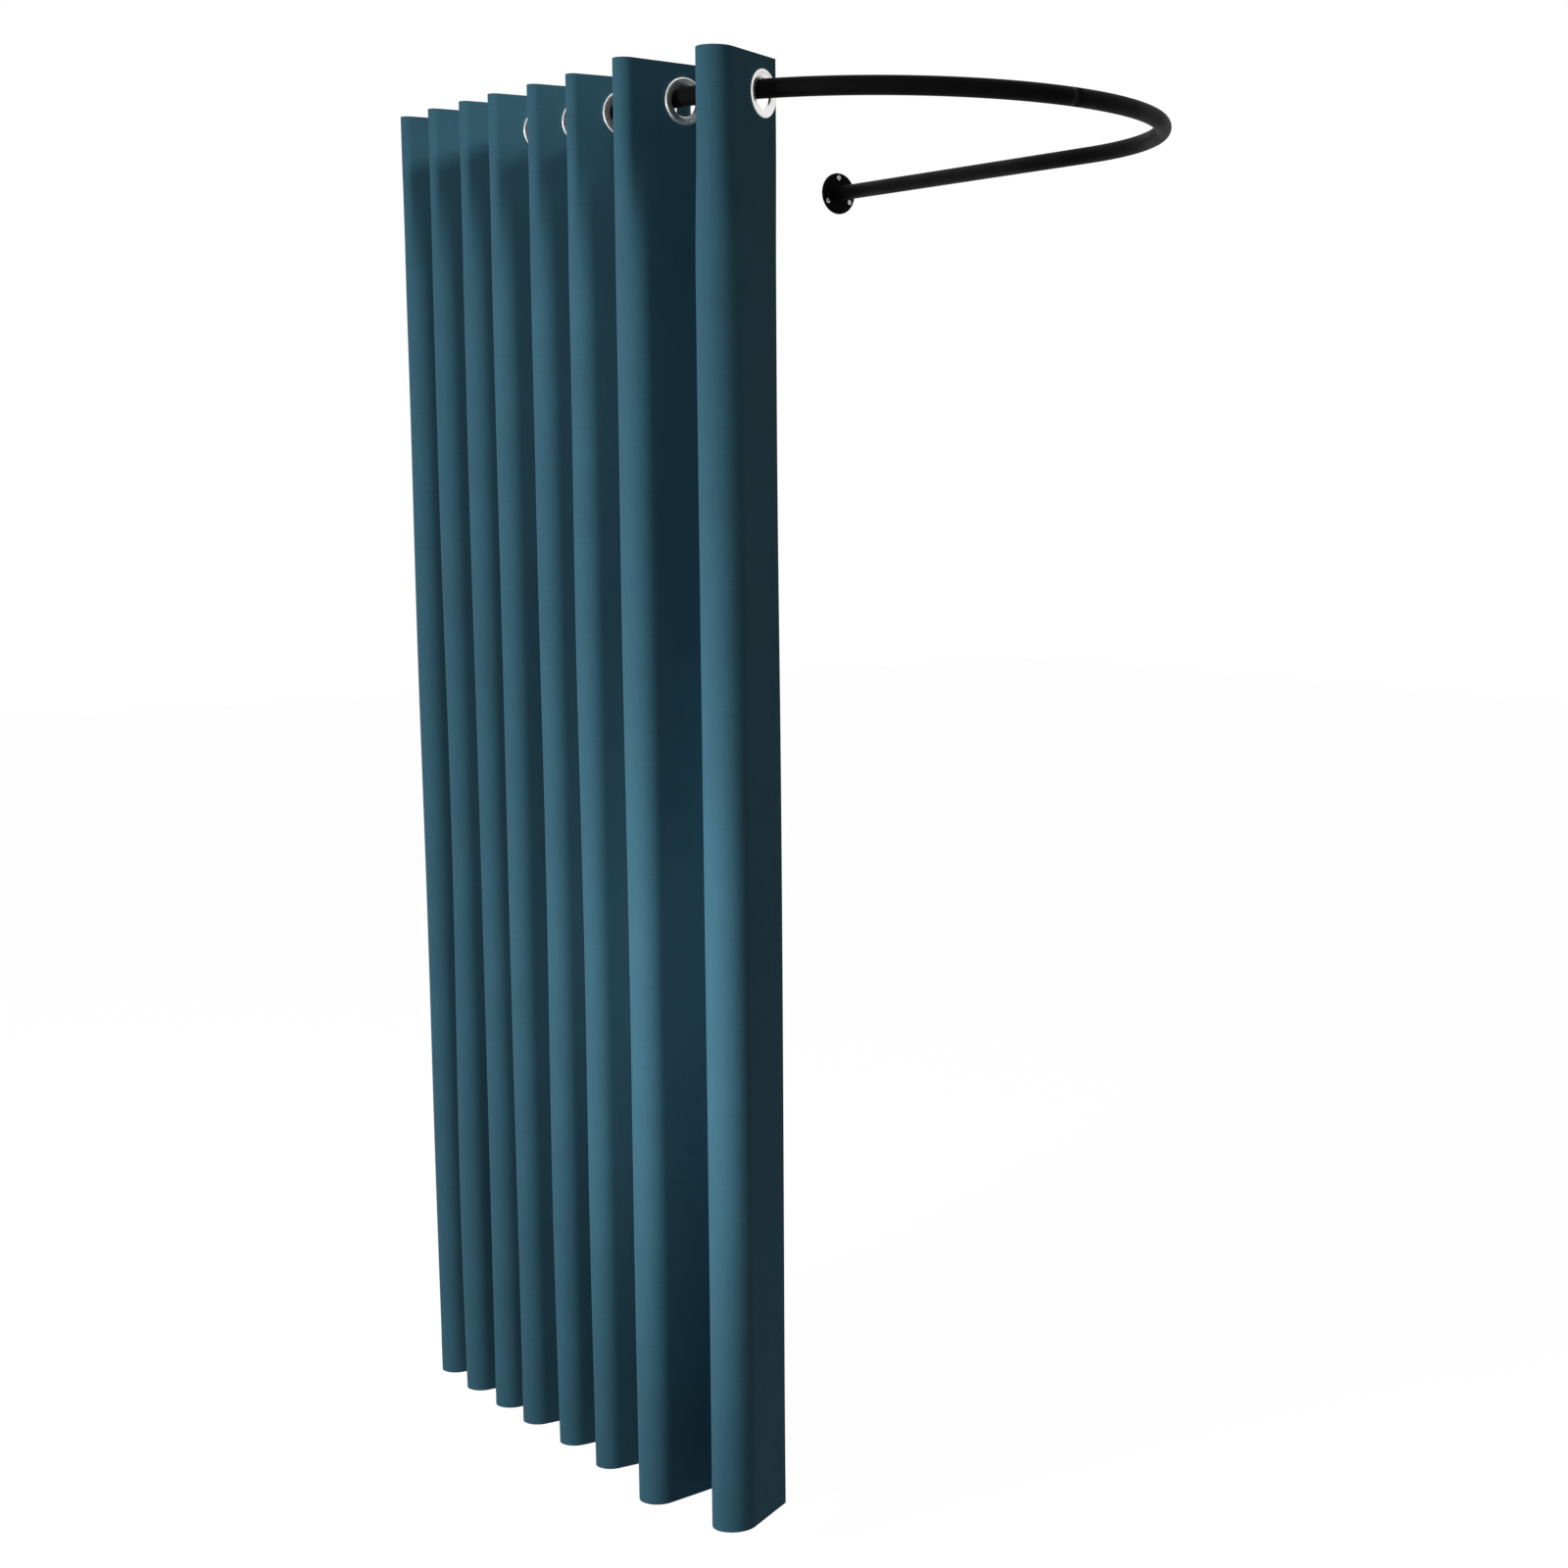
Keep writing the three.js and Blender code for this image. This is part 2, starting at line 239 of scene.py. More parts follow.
nickel, tree, shader = new_material("polished nickel", from_hex("f6f5f3"), {"Metallic": 0.9})
place = put(tree, "ShaderNodeTexCoord").outputs["Object"]
wear = put(tree, "ShaderNodeTexNoise", {"Vector": place, "Scale": WEAR_PER_METRE, "Detail": 3.0})
roughness = stretched(tree, wear.outputs[0], old=(0.35, 0.7), new=NICKEL_ROUGHNESS)
tree.links.new(roughness, shader.inputs["Roughness"])
print("material:", nickel.name)

# %% [markdown]
# ## The curtain cloth
#
# The curtain is a heavy polyester in petrol blue, woven plain, one thread over and one under. The threads are
# only half a millimetre apart, so from the room one sees a soft matt surface, and up close the weave. The
# pattern is laid on the cloth's own map: across is the distance along the unfolded cloth and up is its
# height, both in metres, so the weave bends round every fold. Two sine waves at right angles give the
# crossing threads. Slubs, the slightly thicker stretches of a thread, are noise that is drawn out along warp
# and weft.

# %% Petrol blue cloth
CLOTH_COLOUR = from_hex("3c6a7d")

cloth, tree, shader = new_material("petrol cloth", CLOTH_COLOUR, {
    "Roughness": 0.82, "Sheen Weight": 0.08, "Sheen Roughness": 0.45, "Specular IOR Level": 0.2,
})
flat_place = put(tree, "ShaderNodeUVMap", uv_map="cloth").outputs[0]
flat_across, flat_up = put(tree, "ShaderNodeSeparateXYZ", {"Vector": flat_place}).outputs[:2]
print("material:", cloth.name)

# %% Threads, slubs and tint
THREAD_PITCH, THREAD_RELIEF = 0.55 * MM, 0.12 * MM
CROSSING_WEIGHT = 0.5
SLUBS_ACROSS_PER_METRE, SLUBS_ALONG_PER_METRE = 900.0, 18.0
CLOUDS_PER_METRE = 9.0
TINT = (0.9, 1.1)


def thread_wave(axis):
    """How high the threads stand along one axis of the cloth, from -1 to 1."""
    angle = put(tree, "ShaderNodeMath", {0: axis, 1: math.pi / THREAD_PITCH}, operation="MULTIPLY")
    return put(tree, "ShaderNodeMath", {0: angle.outputs[0]}, operation="SINE").outputs[0]


def slubs(across, up):
    """Uneven threads: noise with so many spots to the metre across the cloth and up it."""
    drawn_out = put(tree, "ShaderNodeMapping", {"Vector": flat_place, "Scale": (across, up, 1.0)})
    noise = put(tree, "ShaderNodeTexNoise", {"Vector": drawn_out.outputs[0], "Scale": 1.0, "Detail": 3.0})
    return noise.outputs[0]


crossing = put(tree, "ShaderNodeMath", {0: thread_wave(flat_across), 1: thread_wave(flat_up)},
               operation="MULTIPLY").outputs[0]
warp = slubs(SLUBS_ACROSS_PER_METRE, SLUBS_ALONG_PER_METRE)
weft = slubs(SLUBS_ALONG_PER_METRE, SLUBS_ACROSS_PER_METRE)
uneven = put(tree, "ShaderNodeMath", {0: warp, 1: weft}, operation="ADD").outputs[0]
cloudy = put(tree, "ShaderNodeTexNoise", {"Vector": flat_place, "Scale": CLOUDS_PER_METRE, "Detail": 3.0})
tone = put(tree, "ShaderNodeMath", {0: uneven, 1: cloudy.outputs[0]}, operation="ADD").outputs[0]
tint = stretched(tree, tone, old=(1.1, 1.9), new=TINT)
dyed = put(tree, "ShaderNodeVectorMath", {0: CLOTH_COLOUR, "Scale": tint}, operation="SCALE").outputs[0]
tree.links.new(dyed, shader.inputs["Base Color"])
relief = put(tree, "ShaderNodeMath", {0: crossing, 1: CROSSING_WEIGHT, 2: uneven}, operation="MULTIPLY_ADD")
weave = put(tree, "ShaderNodeBump", {
    "Height": relief.outputs[0], "Strength": 0.35, "Distance": THREAD_RELIEF,
})
tree.links.new(weave.outputs[0], shader.inputs["Normal"])
print("threads per centimetre:", round(10 * MM / THREAD_PITCH, 1))

# %% [markdown]
# ## Reading the curtain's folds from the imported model
#
# An eyelet curtain hangs in waves. Each eyelet hangs the cloth on the rail, with the cloth lying flat in its
# ring, and between two eyelets the cloth swings out to a crest or in to a trough. So the eyelets' centres,
# their axes and the depth of each crest are all that the folds need, and all of them can be measured on the
# nodes.

# %% Helpers for measuring
CORNER_DECIMALS = 6


def corners(node):
    """The corners of a CAD node, each one once."""
    mesh = frame["nodes"][node].data
    flat = np.empty(len(mesh.vertices) * 3)
    mesh.vertices.foreach_get("co", flat)
    return np.unique(flat.reshape(-1, 3).round(CORNER_DECIMALS), axis=0)


def unit(vector):
    """The vector, brought to a length of 1."""
    return vector / np.linalg.norm(vector)


def turned_right(vector):
    """A plan vector turned a quarter clockwise, as seen from above."""
    return np.array((vector[1], -vector[0]))


print("helpers: corners, unit, turned_right")

# %% Measure the eyelets
class Eyelet:
    """An eyelet's nodes, body, centre and axis, which points out of its front ring.

    Its rise is the way that the cloth runs past it towards the crest, seen from above.
    """

    def __init__(self, number):
        self.panel = f"curtain_panel_{number:02d}"
        self.rings = (f"eyelet_front_{number:02d}", f"eyelet_back_{number:02d}")
        self.body = frame["nodes"][self.rings[0]]["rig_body"]
        self.is_leading = number % 2 == 0
        front, back = (corners(ring) for ring in self.rings)
        both = np.vstack((front, back))
        self.centre = (both.min(0) + both.max(0)) / 2
        spread = front - front.mean(0)
        axis = np.linalg.svd(spread, full_matrices=False)[2][-1]
        self.axis = axis * np.sign(axis @ (front.mean(0) - back.mean(0)))
        self.plan = self.centre[:2]
        normal = unit(self.axis[:2])
        self.rise = turned_right(normal) if self.is_leading else -turned_right(normal)


eyelet_count = sum(name.startswith("curtain_panel") for name in frame["nodes"])
eyelets = [Eyelet(number + 1) for number in range(eyelet_count)]
ring_corners = corners(eyelets[0].rings[0]) - eyelets[0].centre
from_axis = np.linalg.norm(np.cross(ring_corners, eyelets[0].axis), axis=1)
rim_radius, bore_radius = from_axis.max(), from_axis.min()
hem_z, heading_z = (corner.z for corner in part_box(eyelets[0].panel))
print("eyelets:", eyelet_count, "radii (mm):", round(bore_radius / MM, 2), round(rim_radius / MM, 2))
print("drop of the cloth:", round(heading_z - hem_z, 3), "m")

# %% [markdown]
# ## The line of one half-wave, seen from above
#
# Between two eyelets the cloth runs straight from the first ring, turns round the apex, and runs straight to
# the second ring. A straight run and an arc that touches it make this line exactly, and they also give its
# length, which is what a curtain maker would cut. A half-wave starts and ends at an eyelet's centre, because
# that is where two hangers share the cloth when they slide apart.

# %% The line between two eyelets
class Swing:
    """The cloth's line from one eyelet to the apex: a straight run and then an arc.

    Rise is the direction of the straight run, and side is the direction in which the apex points.
    """

    def __init__(self, start, rise, apex, side):
        self.start, self.rise = start, rise
        across = turned_right(rise)
        self.across = across * np.sign(across @ (apex - start))
        self.radius = (apex - start) @ self.across / (1 + side @ self.across)
        self.centre = apex - side * self.radius
        self.straight = (self.centre - start) @ rise
        self.sweep = math.acos(np.clip(-self.across @ side, -1, 1))
        self.length = self.straight + self.sweep * self.radius

    def at(self, distance):
        """Points at distances from the eyelet, and the line's direction there."""
        distance = np.asarray(distance)[:, None]
        turn = np.maximum(0, distance - self.straight) / self.radius
        on_straight = self.start + self.rise * distance
        on_arc = self.centre + self.radius * (self.rise * np.sin(turn) - self.across * np.cos(turn))
        direction = self.rise * np.cos(turn) + self.across * np.sin(turn)
        return np.where(distance < self.straight, on_straight, on_arc), direction


class Line:
    """The cloth's line from one eyelet over the apex to the next eyelet."""

    def __init__(self, starts, rises, apex, side):
        self.swings = [Swing(start, rise, apex, side) for start, rise in zip(starts, rises)]
        self.length = sum(swing.length for swing in self.swings)

    def at(self, distance):
        """Points at distances from the first eyelet, and the direction of travel there."""
        distance = np.asarray(distance, float)
        out, way_out = self.swings[0].at(distance)
        back, way_back = self.swings[1].at(self.length - distance)
        first_part = (distance <= self.swings[0].length)[:, None]
        return np.where(first_part, out, back), np.where(first_part, way_out, -way_back)


print("helpers: Swing, Line")

# %% [markdown]
# ## The same half-wave further down
#
# The ring holds the cloth flat and leaning for the height of the heading. Below that nothing holds it, and
# stiff cloth opens into a rounder wave. So each half-wave has two lines with the same ends: the measured one
# for the heading, and one below it whose flanks stand more nearly square to the rail, which leaves more width
# for the turn. A fold's front flank keeps most of its lean there, except at the curtain's free edge, where it
# stands all but square. Its back flank keeps none, so the crest's apex moves back a little: the cloth turns
# tightly behind it and slowly in front of it. Each apex is also drawn in by some millimetres, so that the
# line stays about as long. The sheet passes smoothly from one line to the other between 8 and 28 centimetres
# below its top edge.

# %% How the flanks stand below the heading
# The share of its lean that a flank keeps. The front flanks have one value for each fold, the free edge last.
FRONT_LEAN_KEPT = [0.65] * 6 + [0.75, -0.15]
BACK_LEAN_KEPT = 0.0

neighbours = zip(eyelets[:1] + eyelets[:-1], eyelets[1:] + eyelets[-1:])
for index, (eyelet, (before, after)) in enumerate(zip(eyelets, neighbours)):
    square_to_rail = turned_right(unit(after.plan - before.plan))
    lean_kept = FRONT_LEAN_KEPT[index // 2] if eyelet.is_leading else BACK_LEAN_KEPT
    eyelet.rise_below = unit(square_to_rail + lean_kept * (eyelet.rise - square_to_rail))
opened_by = [math.degrees(math.acos(min(1, eyelet.rise @ eyelet.rise_below))) for eyelet in eyelets]
print("how far each flank turns below the heading (degrees):", [round(angle) for angle in opened_by])

# %% Half-waves
CAD_CLOTH = 1.2 * MM
APEX_BACK_SHARE = 0.35
# One value for each fold, the free edge last.
DRAWN_IN = [4.0 * MM] * 6 + [7.5 * MM, 7.0 * MM]
OPENING_STARTS, OPENING_FULL = 0.08, 0.28


def ease(value, start, end):
    """0 before start, 1 after end, and smooth between them."""
    share = np.clip((value - start) / (end - start), 0, 1)
    return share * share * (3 - 2 * share)


class HalfWave:
    """The cloth between two neighbouring eyelets, as a line at the heading and a line below it."""

    def __init__(self, first, second, drawn_in):
        self.first, self.second = first, second
        is_crest = second.is_leading
        sign = 1 if is_crest else -1
        middle = (first.plan + second.plan) / 2
        side = sign * turned_right(unit(second.plan - first.plan))
        furthest = max(((corners(eyelet.panel)[:, :2] - middle) @ side).max() for eyelet in (first, second))
        reach = furthest - CAD_CLOTH / 2
        back = (first.plan - second.plan) / 2 * (APEX_BACK_SHARE if is_crest else 0)
        starts = (first.plan, second.plan)
        rises = (sign * first.rise, sign * second.rise)
        rises_below = (sign * first.rise_below, sign * second.rise_below)
        self.heading = Line(starts, rises, middle + side * reach, side)
        self.below = Line(starts, rises_below, middle + side * (reach - drawn_in) + back, side)
        self.length = self.heading.length

    def at(self, distance, z):
        """Points at distances from the first eyelet and heights, and the direction of travel there."""
        distance = np.asarray(distance, float)
        opened = ease(heading_z - z, OPENING_STARTS, OPENING_FULL)[:, None]
        high, way_high = self.heading.at(distance)
        low, way_low = self.below.at(distance / self.length * self.below.length)
        way = way_high + opened * (way_low - way_high)
        return high + opened * (low - high), way / np.linalg.norm(way, axis=1, keepdims=True)


half_waves = [HalfWave(*pair) for pair in zip(eyelets, eyelets[1:], np.repeat(DRAWN_IN, 2))]
print("half-waves at the heading (mm):", [round(wave.length / MM) for wave in half_waves])
print("and below it:", [round(wave.below.length / MM) for wave in half_waves])

# %% [markdown]
# ## From a line to a sheet
#
# The sheet is a grid: columns along the cloth's line, rows down its height. Both faces are made, so the cloth
# has a true thickness and its hems can be thicker. Rows are close together where something happens, at the
# heading with its eyelets and at the bottom hem, and far apart in between. Columns are close together round a
# turn.

# %% Where the grid has its rows
ROW_BANDS_FROM_TOP = [(0.4, 0.2), (3, 1.3), (87, 3.0), (102, 1.5), (150, 8.0), (300, 15.0)]
ROW_BANDS_FROM_HEM = [(0.4, 0.2), (3, 1.3), (54, 8.0), (68, 1.5), (300, 15.0)]
MIDDLE_ROW = 20 * MM


def spaced(start, end, pitch):
    """Places from start to end, both included, that lie about a pitch apart."""
    return np.linspace(start, end, max(1, round(abs(end - start) / pitch)) + 1)


def banded(bands):
    """Distances from an edge, in metres. A band is how far it reaches and its rows' pitch, in millimetres."""
    places = [0.0]
    for end, pitch in bands:
        places.extend(spaced(places[-1], end, pitch)[1:])
    return np.array(places) * MM


top_rows = heading_z - banded(ROW_BANDS_FROM_TOP)
hem_rows = hem_z + banded(ROW_BANDS_FROM_HEM)[::-1]
row_heights = np.concatenate((top_rows, spaced(top_rows[-1], hem_rows[0], MIDDLE_ROW)[1:-1], hem_rows))
print("rows:", len(row_heights))

# %% Where the grid has its columns
STRAIGHT_COLUMN = 3.2 * MM
ARC_COLUMN = math.radians(7)


def columns_of(wave):
    """Distances from the first eyelet: long steps on the straight runs, short ones round the apex."""
    out, back = (
        np.concatenate((
            spaced(0, swing.straight, STRAIGHT_COLUMN)[:-1],
            spaced(swing.straight, swing.length, ARC_COLUMN * swing.radius),
        ))
        for swing in wave.heading.swings
    )
    return np.concatenate((out, wave.length - back[-2::-1]))


print("columns:", [len(columns_of(wave)) for wave in half_waves])

# %% [markdown]
# ## The small irregularities of hanging cloth
#
# Hanging cloth isn't quite regular. Further down, each fold wanders by a millimetre or two. The wander is a
# sum of a few slow waves over the unfolded cloth, with a fixed seed, so it is the same in each run and
# neighbouring half-waves agree where they meet. The hems are folded over, so the cloth is thicker there by a
# soft step.

# %% Wander
WANDER = 1.6 * MM
WANDER_STARTS, WANDER_FULL = 0.10, 0.90
WANDER_SEED = 11
SLOW_WAVES = 6
# The least and the greatest (width along the cloth, height) of a slow wave, in metres.
SMALLEST_WAVE, LARGEST_WAVE = (0.16, 0.7), (0.42, 1.9)

rng = np.random.default_rng(WANDER_SEED)
slow_waves = [
    (*rng.uniform(SMALLEST_WAVE, LARGEST_WAVE), *rng.uniform(0, 2 * math.pi, 2)) for _ in range(SLOW_WAVES)
]


def wander(along, z):
    """How far the cloth stands off its even line, at a place on the unfolded cloth."""
    total = sum(
        np.sin(2 * math.pi * along / width + a) * np.sin(2 * math.pi * z / height + b)
        for width, height, a, b in slow_waves
    )
    return WANDER * ease(heading_z - z, WANDER_STARTS, WANDER_FULL) * total / math.sqrt(len(slow_waves))


print("slow waves, width by height (m):", [(round(wave[0], 2), round(wave[1], 2)) for wave in slow_waves])

# %% Thickness
CLOTH_THICKNESS = 0.9 * MM
HEADING_DEPTH = 96 * MM
HEM_DEPTH = 62 * MM
SIDE_HEM = 22 * MM
HEM_EXTRA = 0.2 * MM
HEM_STEP = 6 * MM
EDGE_ROUND = 0.5 * MM


def half_thickness(z, from_side):
    """Half the cloth's thickness: more in the hems, and rounded off at the edges."""
    in_heading = 1 - ease(heading_z - z, HEADING_DEPTH - HEM_STEP, HEADING_DEPTH)
    in_hem = 1 - ease(z - hem_z, HEM_DEPTH - HEM_STEP, HEM_DEPTH)
    in_side = 1 - ease(from_side, SIDE_HEM - HEM_STEP, SIDE_HEM)
    extra = HEM_EXTRA * np.maximum(np.maximum(in_heading, in_hem), in_side)
    nearest = np.minimum(np.minimum(heading_z - z, z - hem_z), from_side)
    rounding = 0.5 + 0.5 * np.sqrt(np.clip(nearest / EDGE_ROUND, 0, 1))
    return (CLOTH_THICKNESS / 2 + extra) * rounding


print("cloth:", CLOTH_THICKNESS / MM, "mm, in the hems", (CLOTH_THICKNESS + 2 * HEM_EXTRA) / MM, "mm")

# %% [markdown]
# ## Cutting the eyelet holes
#
# A round hole in a square grid can be cut with a boolean, but that leaves slivers. Here the cells inside the
# circle are left out, and the corners that still reach into it are pushed out onto it. The edge is then
# round, and the ring's rim covers the few uneven cells beside it.

# %% The grid of one sheet
BARREL_WALL = 1.5 * MM
HOLE_CLEARANCE = 0.9 * MM
# The columns nearest to the curtain's side edges, in radii of the rounded edge, and then the even ones.
EDGE_COLUMNS = (0, 0.4, 1, 3)
SIDE_COLUMNS_START, SIDE_COLUMN = 6 * MM, 4 * MM

barrel_radius = bore_radius + BARREL_WALL
hole_radius = barrel_radius + HOLE_CLEARANCE
side_reach = -((corners(eyelets[0].panel)[:, :2] - eyelets[0].plan) @ eyelets[0].rise).min()
edge_columns = EDGE_ROUND * np.array(EDGE_COLUMNS)
side_columns = np.concatenate((edge_columns, spaced(SIDE_COLUMNS_START, side_reach, SIDE_COLUMN)))[:-1]


def cell_middles(places):
    """The middle of each cell of a grid, along one axis."""
    return (places[1:, 1:] + places[:-1, :-1]) / 2


def grid_of(wave):
    """The grid's places on the unfolded cloth, which cells are cloth, and how far off its sides are."""
    columns = columns_of(wave)
    sides = [-math.inf, math.inf]
    if wave.first is eyelets[0]:
        sides[0] = -side_reach
        columns = np.concatenate((side_columns - side_reach, columns))
    if wave.second is eyelets[-1]:
        sides[1] = wave.length + side_reach
        columns = np.concatenate((columns, (sides[1] - side_columns)[::-1]))
    s, z = np.meshgrid(columns, row_heights, indexing="ij")
    kept = np.ones(cell_middles(s).shape, bool)
    for hole_s, hole_z in ((0, wave.first.centre[2]), (wave.length, wave.second.centre[2])):
        kept &= np.hypot(cell_middles(s) - hole_s, cell_middles(z) - hole_z) > hole_radius
        away = np.hypot(s - hole_s, z - hole_z)
        push = np.where(away < hole_radius, hole_radius / np.maximum(away, EDGE_ROUND), 1)
        s, z = hole_s + (s - hole_s) * push, hole_z + (z - hole_z) * push
    return s, z, kept, np.minimum(s - sides[0], sides[1] - s)


print("cloth beyond the outer eyelets' centres:", round(side_reach / MM, 1), "mm")

# %% The faces of one sheet
def faces_of(kept):
    """The quads of both faces of the sheet, and of the edges between them, as corner numbers."""
    columns, rows = kept.shape[0] + 1, kept.shape[1] + 1
    number = np.arange(columns * rows).reshape(columns, rows)
    outer = np.stack((number[:-1, :-1], number[:-1, 1:], number[1:, 1:], number[1:, :-1]), -1)[kept]
    walked = np.concatenate([outer[:, [i, (i + 1) % 4]] for i in range(4)])
    pairs = set(map(tuple, walked.tolist()))
    open_edges = np.array([(b, a) for a, b in pairs if (b, a) not in pairs])
    inner = outer[:, ::-1] + columns * rows
    between = np.column_stack((open_edges, open_edges[:, ::-1] + columns * rows))
    return np.concatenate((outer, inner, between))


print("a closed sheet of one cell has", len(faces_of(np.ones((1, 1), bool))), "faces")

# %% Make the sheets
CLOTH_SHARP_ANGLE = math.radians(50)


def cloth_point(wave, s, z, along_start, offset):
    """A point of the cloth at a place on the grid, and offset out of its middle layer."""
    plan, direction = wave.at(s, z)
    normal = np.column_stack((direction[:, 1], -direction[:, 0]))
    stand = wander(along_start + s, z) + offset
    return np.column_stack((plan + normal * stand[:, None], z))


def cloth_sheet(name, wave, along_start):
    """One half-wave of the curtain as a closed sheet, with the half holes of its two eyelets."""
    s, z, kept, from_side = grid_of(wave)
    s, z, half = s.ravel(), z.ravel(), half_thickness(z, from_side).ravel()
    points = np.vstack([cloth_point(wave, s, z, along_start, offset) for offset in (half, -half)])
    used, faces = np.unique(faces_of(kept), return_inverse=True)
    mesh = bpy.data.meshes.new(name)
    mesh.from_pydata(points[used].tolist(), [], faces.reshape(-1, 4).tolist())
    on_cloth = np.tile(np.column_stack((along_start + s, z - hem_z)), (2, 1))[used]
    loop_corners = np.empty(len(mesh.loops), int)
    mesh.loops.foreach_get("vertex_index", loop_corners)
    mesh.uv_layers.new(name="cloth").data.foreach_set("uv", on_cloth[loop_corners].ravel())
    mesh.polygons.foreach_set("use_smooth", np.ones(len(mesh.polygons), bool))
    mesh.set_sharp_from_angle(angle=CLOTH_SHARP_ANGLE)
    mesh.materials.append(cloth)
    sheet = bpy.data.objects.new(name, mesh)
    bpy.context.scene.collection.objects.link(sheet)
    return sheet


along_starts = np.concatenate(([0], np.cumsum([wave.length for wave in half_waves])[:-1])) + side_reach
sheets = []
for number, (wave, along_start) in enumerate(zip(half_waves, along_starts), 1):
    sheets.append(cloth_sheet(f"curtain_cloth_{number:02d}", wave, along_start))
print("cloth pieces:", len(sheets), "quads:", sum(len(sheet.data.polygons) for sheet in sheets))

# %% [markdown]
# ## The sheets in place of the panels
#
# When the curtain is drawn, each eyelet slides by itself and the cloth between two of them opens. Each sheet's
# flat size is the unfolded width of the half-wave below the heading, and the curtain's drop. The first and the
# last sheet also have the cloth beyond their outer eyelet. The imported panels that the sheets replace are
# hidden.

# %% Replace the panels
for sheet, wave in zip(sheets, half_waves):
    first, second = wave.first, wave.second
    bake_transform(sheet)
    starts_curtain, ends_curtain = first is eyelets[0], second is eyelets[-1]
    width = wave.below.length + side_reach * (starts_curtain + ends_curtain)
    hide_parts(first.panel, *([second.panel] if ends_curtain else []))

# %% [markdown]
# ## Turned pieces
#
# Rings, flanges and screws are turned shapes: an outline that is spun round an axis. In Geometry Nodes the
# outline is swept along a circle, its corners are rounded with a fillet, and the result is set in its place.
# The outline is drawn in plain numbers, radius and height, so it reads like the drawing that a turner would
# get. It runs clockwise, with the axis on its left, and then the faces of the turned piece point outwards.

# %% Start and end of a tree
SHARP_ANGLE = math.radians(35)


def new_tree(name, sizes):
    """A Geometry Nodes tree with a named input for each size."""
    tree = bpy.data.node_groups.new(name, "GeometryNodeTree")
    tree.interface.new_socket("Geometry", in_out="INPUT", socket_type="NodeSocketGeometry")
    tree.interface.new_socket("Geometry", in_out="OUTPUT", socket_type="NodeSocketGeometry")
    for label, kind in sizes.items():
        tree.interface.new_socket(label, in_out="INPUT", socket_type="NodeSocket" + kind)
    return tree, tree.nodes.new("NodeGroupInput").outputs


def finish_tree(tree, geometry, material):
    """Smooth faces with sharp corners, no instances left, and the material set."""
    plain = put(tree, "GeometryNodeRealizeInstances", {"Geometry": geometry}).outputs[0]
    smooth = put(tree, "GeometryNodeSetShadeSmooth", {"Geometry": plain}, domain="FACE").outputs[0]
    edge = put(tree, "GeometryNodeInputMeshEdgeAngle").outputs["Unsigned Angle"]
    is_sharp = put(tree, "FunctionNodeCompare", {"A": edge, "B": SHARP_ANGLE}, operation="GREATER_THAN")
    edged = put(tree, "GeometryNodeSetShadeSmooth", {
        "Geometry": smooth, "Selection": is_sharp.outputs[0], "Shade Smooth": False,
    }, domain="EDGE").outputs[0]
    finished = put(tree, "GeometryNodeSetMaterial", {"Geometry": edged, "Material": material}).outputs[0]
    put(tree, "NodeGroupOutput", {"Geometry": finished})


print("helpers: new_tree, finish_tree")

# %% A tree that turns an outline
FILLET_POINTS = 4
WELD = 0.002 * MM

turning, given = new_tree("turned piece", {
    "Spin Radius": "Float", "Segments": "Int", "Fillet": "Float", "Place": "Vector", "Turn": "Rotation",
    "Material": "Material",
})
outline = put(turning, "GeometryNodeMeshToCurve", {"Mesh": given["Geometry"]}).outputs[0]
rounded = put(turning, "GeometryNodeFilletCurve", {
    "Curve": outline, "Count": FILLET_POINTS, "Radius": given["Fillet"], "Limit Radius": True,
}, mode="POLY").outputs[0]
circle = put(turning, "GeometryNodeCurvePrimitiveCircle", {
    "Resolution": given["Segments"], "Radius": given["Spin Radius"],
}).outputs[0]
spun = put(turning, "GeometryNodeCurveToMesh", {"Curve": circle, "Profile Curve": rounded}).outputs[0]
closed = put(turning, "GeometryNodeMergeByDistance", {"Geometry": spun, "Distance": WELD}).outputs[0]
placed = put(turning, "GeometryNodeTransform", {
    "Geometry": closed, "Translation": given["Place"], "Rotation": given["Turn"],
}).outputs[0]
finish_tree(turning, placed, given["Material"])
print("tree:", turning.name, "nodes:", len(turning.nodes))

# %% Run a tree on a mesh
def made_by(tree, name, points, edges, values):
    """Runs a tree on some points and edges, and returns its result as a plain object at the origin."""
    seed = bpy.data.meshes.new(name)
    seed.from_pydata([tuple(point) for point in points], edges, [])
    piece = bpy.data.objects.new(name, seed)
    bpy.context.scene.collection.objects.link(piece)
    modifier = piece.modifiers.new(tree.name, "NODES")
    modifier.node_group = tree
    for socket in tree.interface.items_tree:
        if socket.in_out == "INPUT" and socket.name in values:
            modifier[socket.identifier] = values[socket.name]
    graph = bpy.context.evaluated_depsgraph_get()
    result = bpy.data.meshes.new_from_object(piece.evaluated_get(graph))
    piece.modifiers.remove(modifier)
    piece.data = result
    result.name = name
    return piece


def turn_outline(name, outline, values, closes=False):
    """Turns an outline of (radius, height) points, in metres, round Z. A ring's outline closes on itself."""
    spin_radius = max(radius for radius, height in outline)
    points = [(radius - spin_radius, -height, 0) for radius, height in outline]
    edges = [(i, i + 1) for i in range(len(points) - 1)]
    if closes:
        edges.append((len(points) - 1, 0))
    return made_by(turning, name, points, edges, {"Spin Radius": spin_radius, **values})


def turn_to(axis):
    """The rotation that lays the Z axis of a turned piece along a direction."""
    return Vector(axis).to_track_quat("Z", "Y").to_euler()


print("helpers: made_by, turn_outline, turn_to")

